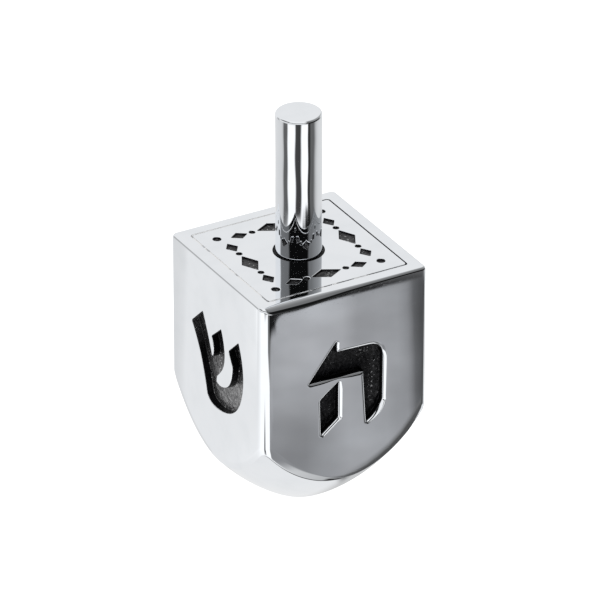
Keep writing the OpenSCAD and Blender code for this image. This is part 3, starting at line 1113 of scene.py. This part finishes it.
cards_far = s.ramp(turn, deg([(-180, 0.78), (-122, 0.78), (-117, 0.48), (-104, 0.48), (-98, 0.75), (-60, 0.75), (-45, 0.02), (70, 0.02), (100, 0.10), (130, 0.75)]))
# grey card to the right, in the oblique coordinates in which the right-hand flat mirrors it
ct = s.math("ADD", x, s.math("MULTIPLY", s.math("ADD", y, 12.7), 0.5665))
cz = s.math("MULTIPLY", s.math("ADD", y, 12.7), -1 / 1.61)
across = s.math("MULTIPLY", s.math("ADD", ct, 16.0), 1 / 32.0)


HORIZON = [(-180, 0.86), (-122, 0.86), (-117, 0.46), (-104, 0.46), (-98, 0.82), (-60, 0.82), (-45, 0.92), (28, 0.95), (36, 0.25), (45, 0.12), (49, 0.008), (80, 0.008), (110, 0.10), (130, 0.80)]


def tone(stops):
    return [((c + 16.0) / 32.0, v) for c, v in stops]


high_card = s.ramp(across, tone([(-12, 0.38), (-9, 0.44), (-5, 0.48), (0, 0.46), (2.5, 0.37), (6, 0.37), (9, 0.355), (10, 0.315),
                                 (10.8, 0.275), (11.4, 0.205), (11.9, 0.13), (13, 0.085)]))
low_card = s.ramp(across, tone([(-12, 0.29), (-9, 0.27), (-6, 0.265), (-2, 0.33), (1, 0.39), (4, 0.39), (7, 0.37), (8.5, 0.33),
                                (9.6, 0.32), (10.5, 0.31), (11.2, 0.24), (11.8, 0.145), (13, 0.085)]))
grey = s.mix(s.step(cz, 14.0, 28.0), low_card, high_card)
blotch = s.noise(s.vec("MULTIPLY", co, (1, 1, 0)), 75, 2, 0.5)
grey = s.vec("MULTIPLY", grey, s.ramp(blotch, [(0.3, (0.87, 0.87, 0.895)), (0.7, (1.10, 1.11, 1.145))]))
past = s.math("ADD", s.math("ADD", ct, 11.5), s.math("MULTIPLY", cz, 0.56))     # from the card's left edge
even = s.math("SUBTRACT", cz, s.math("MULTIPLY", s.math("MAXIMUM", s.math("SUBTRACT", -11.0, ct), 0.0), 0.18))
rise = s.math("MULTIPLY", s.math("SUBTRACT", even, 18.0), 1 / 20.0)
reach = s.math("MULTIPLY", s.ramp(rise, [(0.0, 0.0), (0.5, 0.10), (0.75, 0.25), (0.85, 0.40), (0.90, 0.52), (0.94, 0.70), (1.0, 1.0)]), 36.0)
frame_tone = s.ramp(rise, [(0.1, 0.40), (0.5, 0.32), (0.7, 0.22), (0.8, 0.11), (0.88, 0.03), (0.93, 0.012)])
in_frame = s.step(s.math("SUBTRACT", past, reach), -1.2, 0.9, 1.0, 0.0)
grey = s.mix(in_frame, grey, frame_tone)
round_u = s.math("MAXIMUM", s.math("SUBTRACT", -9.3, ct), 0.0)
round_v = s.math("MAXIMUM", s.math("SUBTRACT", even, 34.6), 0.0)
round_d = s.math("SQRT", s.math("ADD", s.math("MULTIPLY", round_u, round_u), s.math("MULTIPLY", round_v, round_v)))
grey = s.mix(s.math("MULTIPLY", s.step(round_d, 1.5, 1.85), s.step(even, 32.5, 35.0)), grey, 0.012)     # the card's rounded corner
reach_t = np.linspace(-12.6, 12.6, 15)
edge_z = s.math("MULTIPLY", s.ramp(across, tone([(c, float(dome_z(math.hypot(12.7, c))) / 20) for c in reach_t])), 20.0)
inside = s.math("SUBTRACT", cz, edge_z)                                        # height over the flat's lower edge
shade = s.math("MULTIPLY", s.step(inside, -0.3, 0.85, 1.0, 0.0), s.step(ct, -1.0, 6.0))
grey = s.mix(shade, grey, 0.17)
grey = s.mix(s.math("MULTIPLY", s.step(inside, -0.4, 0.0, 1.0, 0.0), s.step(ct, -5.0, -1.0)), grey, 0.085)
on_card = s.math("MULTIPLY", s.step(past, -0.4, 0.8), s.step(cz, 6.2, 9.2))
# white table round it, brighter in front, in shade near the right-hand flat's foot
front = s.ramp(turn, deg([(-180, 0.86), (-95, 0.86), (-60, 1.12), (45, 1.12), (80, 0.86)]))
under = s.mix(s.step(rho, 20.0, 30.0), 0.86, front)
swing = s.math("MULTIPLY", s.math("SUBTRACT", turn, 0.5), 360.0)                # bearing in degrees
lt = s.math("SUBTRACT", s.math("MULTIPLY", y, -1.0), s.math("MULTIPLY", s.math("ADD", x, 12.7), 1.765))
left_tone = s.ramp(s.math("MULTIPLY", s.math("ADD", lt, 16.0), 1 / 32.0), tone([(-13, 0.75), (-11.3, 0.79), (-10, 0.86), (6, 0.86), (9, 0.89),
                                                                            (10.5, 0.97), (11.6, 1.03)]))
under = s.mix(s.math("MULTIPLY", s.step(swing, -150.0, -142.0), s.step(swing, -106.0, -100.0, 1.0, 0.0)), under, left_tone)
crease = s.math("MULTIPLY", s.step(swing, -24.0, -20.0), s.step(swing, -12.0, -8.0, 1.0, 0.0))
crease = s.math("MULTIPLY", crease, s.math("MULTIPLY", s.step(rho, 27.0, 30.0), s.step(rho, 46.0, 63.0, 1.0, 0.0)))
under = s.mix(crease, under, 0.06)                                              # dark line in the front corner's lower end
far_in = s.math("MULTIPLY", rho, 0.01)
white_to = s.math("MULTIPLY", s.ramp(far_in, [(0.35, 0.88), (0.45, 0.80), (0.55, 0.66), (0.62, 0.52), (0.70, 0.38)]), 50.0)
wedge = s.math("MULTIPLY", s.step(s.math("SUBTRACT", swing, white_to), -4.0, 4.0), s.step(swing, 60.0, 70.0, 1.0, 0.0))
wedge = s.math("MULTIPLY", wedge, s.step(rho, 32.0, 40.0))
under = s.mix(wedge, under, s.ramp(far_in, [(0.40, 0.55), (0.48, 0.45), (0.56, 0.34), (0.63, 0.24), (0.70, 0.15)]))
foot = s.ramp(across, tone([(-14, 0.86), (-11.5, 0.70), (-8, 0.60), (-3, 0.52), (1.8, 0.39), (5, 0.31), (7, 0.3), (8.5, 0.42), (10, 0.8), (12, 0.86)]))
table = s.mix(s.math("MULTIPLY", s.step(cz, 0.6, 2.2), s.math("MULTIPLY", s.step(ct, -18.0, -13.0), s.step(cz, 9.0, 12.0, 1.0, 0.0))), under, foot)
hem = s.math("ADD", s.math("ADD", cz, 2.5), s.math("MULTIPLY", ct, 0.28))         # as the dome mirrors it beside the flat
table = s.mix(s.math("MULTIPLY", s.math("MULTIPLY", s.step(hem, -6.0, 0.0), s.step(ct, 4.0, 10.0)), s.step(cz, -3.0, -1.5, 1.0, 0.0)), table, 0.6)
aside = s.math("MAXIMUM", s.math("SUBTRACT", ct, 3.0), 0.0)
line_from = s.math("SUBTRACT", -0.6, s.math("MULTIPLY", aside, 0.35))
line_soft = s.math("SUBTRACT", s.math("SUBTRACT", line_from, 0.7), s.math("MULTIPLY", aside, 0.3))
line = s.math("MULTIPLY", s.math("MULTIPLY", s.step(cz, line_soft, line_from), s.step(cz, 1.8, 3.0, 1.0, 0.0)), s.math("MULTIPLY", s.step(ct, -18.0, -14.0), s.step(ct, 7.0, 10.5, 1.0, 0.0)))
table = s.mix(line, table, 0.045)
near = s.mix(on_card, table, grey)
col = s.mix(s.step(rho, 82.0, 88.0), near, cards_mid)
brow = s.math("MULTIPLY", s.math("MULTIPLY", s.step(past, -0.5, 1.0), s.step(even, 36.5, 37.3)), s.step(ct, 5.0, 12.0, 1.0, 0.0))
brow = s.math("MULTIPLY", brow, s.math("SUBTRACT", 1.0, s.math("MULTIPLY", s.step(rho, 84.0, 90.0), s.step(swing, 43.5, 47.0, 1.0, 0.04))))
col = s.mix(brow, col, s.ramp(across, tone([(-4, 0.012), (3, 0.04), (8, 0.13)])))
col = s.mix(s.step(rho, 112.0, 132.0), col, cards_far)
col = s.mix(s.step(rho, 165.0, 225.0), col, s.ramp(turn, deg(HORIZON)))
glow(s, col)
cards.data.materials.append(cm)

# walls and ceiling of the studio as the metal mirrors them
me = bpy.data.meshes.new("studio_walls")
ico = bpy.data.objects.new("studio_walls", me)
bpy.context.scene.collection.objects.link(ico)
rows, cols, verts, faces = 32, 64, [], []
for i in range(rows + 1):
    t = i / rows * math.pi
    for j in range(cols):
        a = j / cols * 2 * math.pi
        verts.append((3 * math.sin(t) * math.cos(a), 3 * math.sin(t) * math.sin(a), 3 * math.cos(t)))
for i in range(rows):
    for j in range(cols):
        k = (j + 1) % cols
        faces.append((i * cols + j, i * cols + k, (i + 1) * cols + k, (i + 1) * cols + j))
me.from_pydata(verts, [], faces)
only_mirrored(ico)
wm, s = material("studio_walls")
wm.cycles.emission_sampling = "NONE"
co = s.vec("NORMALIZE", s.new("ShaderNodeTexCoord").outputs["Object"])
xyz = s.new("ShaderNodeSeparateXYZ")
s.put(xyz, 0, co)
high = s.math("MULTIPLY", s.math("ARCSINE", xyz.outputs[2]), 180 / math.pi)
turn = bearing(s, co)
walls = s.ramp(turn, deg([(-180, 0.86), (-106, 0.86), (-97, 0.19), (-52, 0.16), (-43, 0.004), (43, 0.004), (52, 0.17), (65, 0.18),
                          (82, 0.24), (116, 0.33), (150, 0.45), (163, 0.86), (180, 0.86)]))
col = s.mix(s.step(high, 16.0, 24.0), s.ramp(turn, deg(HORIZON)), walls)
ceiling_from = s.math("MULTIPLY", s.ramp(turn, deg([(-180, 0.55), (-60, 0.55), (-48, 0.37), (46, 0.37), (54, 0.75), (150, 0.75), (165, 0.55)])), 90.0)
col = s.mix(s.step(s.math("SUBTRACT", high, ceiling_from), 0.0, 8.0), col, 0.94)
glow(s, col)
me.materials.append(wm)

world = bpy.data.worlds.new("studio")
world.use_nodes = True
world.node_tree.nodes["Background"].inputs[0].default_value = (1, 1, 1, 1)
world.node_tree.nodes["Background"].inputs[1].default_value = 1.06
world.cycles.sampling_method = "NONE"
bpy.context.scene.world = world
bpy.context.scene.view_settings.view_transform = "Standard"
